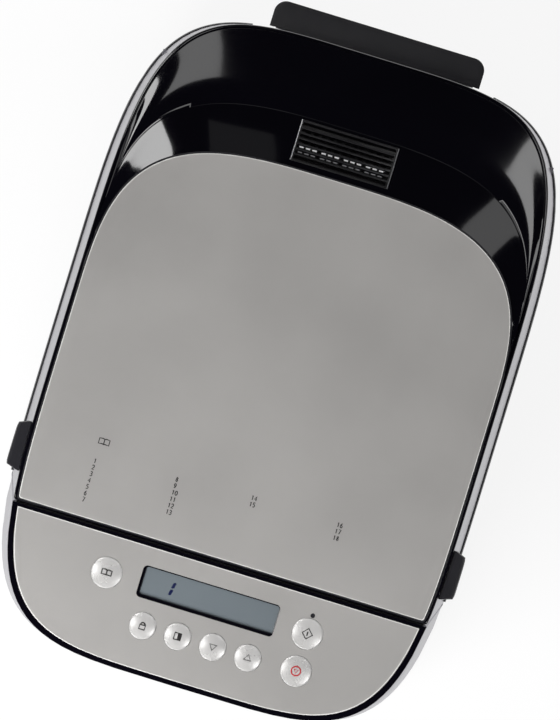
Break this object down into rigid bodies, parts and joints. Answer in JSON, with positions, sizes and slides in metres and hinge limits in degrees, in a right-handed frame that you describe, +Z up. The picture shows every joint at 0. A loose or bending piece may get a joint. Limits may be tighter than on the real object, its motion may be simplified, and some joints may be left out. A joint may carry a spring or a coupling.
{
  "type": "bread machine",
  "caption": "Table-top bread machine with a hinged domed lid, steam vent, sloped-shoulder casing, key panel with display, lift-out pan and belt-driven kneading blade",
  "frame": {"origin": "on the table, at the bottom centre of the bounding box", "axes": "+Z up, -Y towards the user and the control panel, +Y towards the hinge at the rear, +X to the right seen by the user"},
  "size_m": [0.262, 0.386, 0.347],
  "materials": {
    "silver_paint": "satin silver paint over moulded plastic",
    "brushed_plate": "fine brushed",
    "gloss_black": "high gloss",
    "matte_black": "fine texture",
    "key_silver": "silver coated",
    "display_grey": "smooth clear window over a grey display",
    "module_grey": "moulded",
    "board_green": "solder mask",
    "sheet_steel": "zinc-coated sheet",
    "liner_aluminium": "pressed sheet",
    "heater_steel": "dull tube",
    "bush_brass": "sintered bronze",
    "motor_grey": "plain can",
    "black_rubber": "matte",
    "seal_rubber": "matte",
    "bright_steel": "bright",
    "pulley_plastic": "moulded",
    "cast_grey": "die-cast",
    "nonstick_grey": "dark non-stick coating on aluminium"
  },
  "bodies": {
    "casing": {"base_tray": "matte_black", "rubber_feet": "black_rubber", "body_wrap": "silver_paint", "top_deck": "matte_black", "control_housing": "gloss_black", "control_panel": "brushed_plate", "display_window": "display_grey", "display_module": "module_grey", "start_light": "matte_black", "control_board": "board_green", "key_switches": "module_grey", "oven_chamber": "sheet_steel", "heat_shield": "sheet_steel", "heating_element": "heater_steel", "heater_clips": "sheet_steel", "pan_socket": "sheet_steel", "temperature_sensor": "sheet_steel", "chassis_frame": "sheet_steel", "bearing_bush": "bush_brass", "power_board": "board_green", "motor": "motor_grey", "motor_bracket": "sheet_steel", "drive_belt": "black_rubber", "hinge_bracket": "matte_black", "hinge_pin": "bright_steel", "cord_inlet": "matte_black", "base_screws": "bright_steel", "deck_screws": "bright_steel"},
    "lid": {"lid_frame": "gloss_black", "lid_skirt": "silver_paint", "lid_plate": "brushed_plate", "steam_vent": "matte_black", "steam_duct": "matte_black", "lid_liner": "liner_aluminium", "lid_seal": "seal_rubber", "lid_grips": "matte_black", "hinge_strap": "sheet_steel", "hinge_cover": "matte_black", "lid_screws": "bright_steel"},
    "pan": {"bread_pan": "nonstick_grey", "pan_foot": "cast_grey", "pan_ears": "bright_steel"},
    "bail": {"pan_handle": "bright_steel"},
    "kneader": {"pan_shaft": "bright_steel", "pan_coupling": "cast_grey", "kneading_blade": "nonstick_grey"},
    "drive": {"drive_shaft": "bright_steel", "drive_pulley": "pulley_plastic", "drive_coupling": "cast_grey"},
    "rotor": {"motor_shaft": "bright_steel", "motor_pulley": "pulley_plastic"},
    "menu_button": {"menu_key": "key_silver"},
    "start_button": {"start_key": "key_silver"},
    "stop_button": {"stop_key": "key_silver"},
    "timer_button": {"timer_key": "key_silver"},
    "crust_button": {"crust_key": "key_silver"},
    "down_button": {"down_key": "key_silver"},
    "up_button": {"up_key": "key_silver"}
  },
  "joints": [
    {"name": "lid_hinge", "type": "hinge", "parent": "casing", "child": "lid", "pos_m": [0, 0.1828, 0.288], "axis": [-1, 0, 0], "range_deg": [0, 80]},
    {"name": "menu_press", "type": "slide", "parent": "casing", "child": "menu_button", "axis": [0, 0, -1], "range_m": [0, 0.0008], "stiffness_N_per_m": 700, "springref_m": -0.0002},
    {"name": "start_press", "type": "slide", "parent": "casing", "child": "start_button", "axis": [0, 0, -1], "range_m": [0, 0.0008], "stiffness_N_per_m": 700, "springref_m": -0.0002},
    {"name": "stop_press", "type": "slide", "parent": "casing", "child": "stop_button", "axis": [0, 0, -1], "range_m": [0, 0.0008], "stiffness_N_per_m": 700, "springref_m": -0.0002},
    {"name": "timer_press", "type": "slide", "parent": "casing", "child": "timer_button", "axis": [0, 0, -1], "range_m": [0, 0.0008], "stiffness_N_per_m": 700, "springref_m": -0.0002},
    {"name": "crust_press", "type": "slide", "parent": "casing", "child": "crust_button", "axis": [0, 0, -1], "range_m": [0, 0.0008], "stiffness_N_per_m": 700, "springref_m": -0.0002},
    {"name": "down_press", "type": "slide", "parent": "casing", "child": "down_button", "axis": [0, 0, -1], "range_m": [0, 0.0008], "stiffness_N_per_m": 700, "springref_m": -0.0002},
    {"name": "up_press", "type": "slide", "parent": "casing", "child": "up_button", "axis": [0, 0, -1], "range_m": [0, 0.0008], "stiffness_N_per_m": 700, "springref_m": -0.0002},
    {"name": "pan_lift", "type": "slide", "parent": "casing", "child": "pan", "axis": [0, 0, 1], "range_m": [0, 0.025]},
    {"name": "bail_hinge", "type": "hinge", "parent": "pan", "child": "bail", "pos_m": [0, 0, 0.214], "axis": [-1, 0, 0], "range_deg": [0, 90]},
    {"name": "drive_spin", "type": "hinge", "parent": "casing", "child": "drive", "pos_m": [0, 0, 0.029], "axis": [0, 0, 1], "continuous": true},
    {"name": "motor_spin", "type": "hinge", "parent": "casing", "child": "rotor", "pos_m": [0, 0.135, 0.029], "axis": [0, 0, 1], "continuous": true},
    {"name": "kneader_spin", "type": "hinge", "parent": "pan", "child": "kneader", "pos_m": [0, 0, 0.096], "axis": [0, 0, 1], "continuous": true}
  ],
  "couplings": [
    {"joint": "motor_spin", "follows": "drive_spin", "ratio": 4.961},
    {"joint": "kneader_spin", "follows": "drive_spin", "ratio": 1}
  ]
}
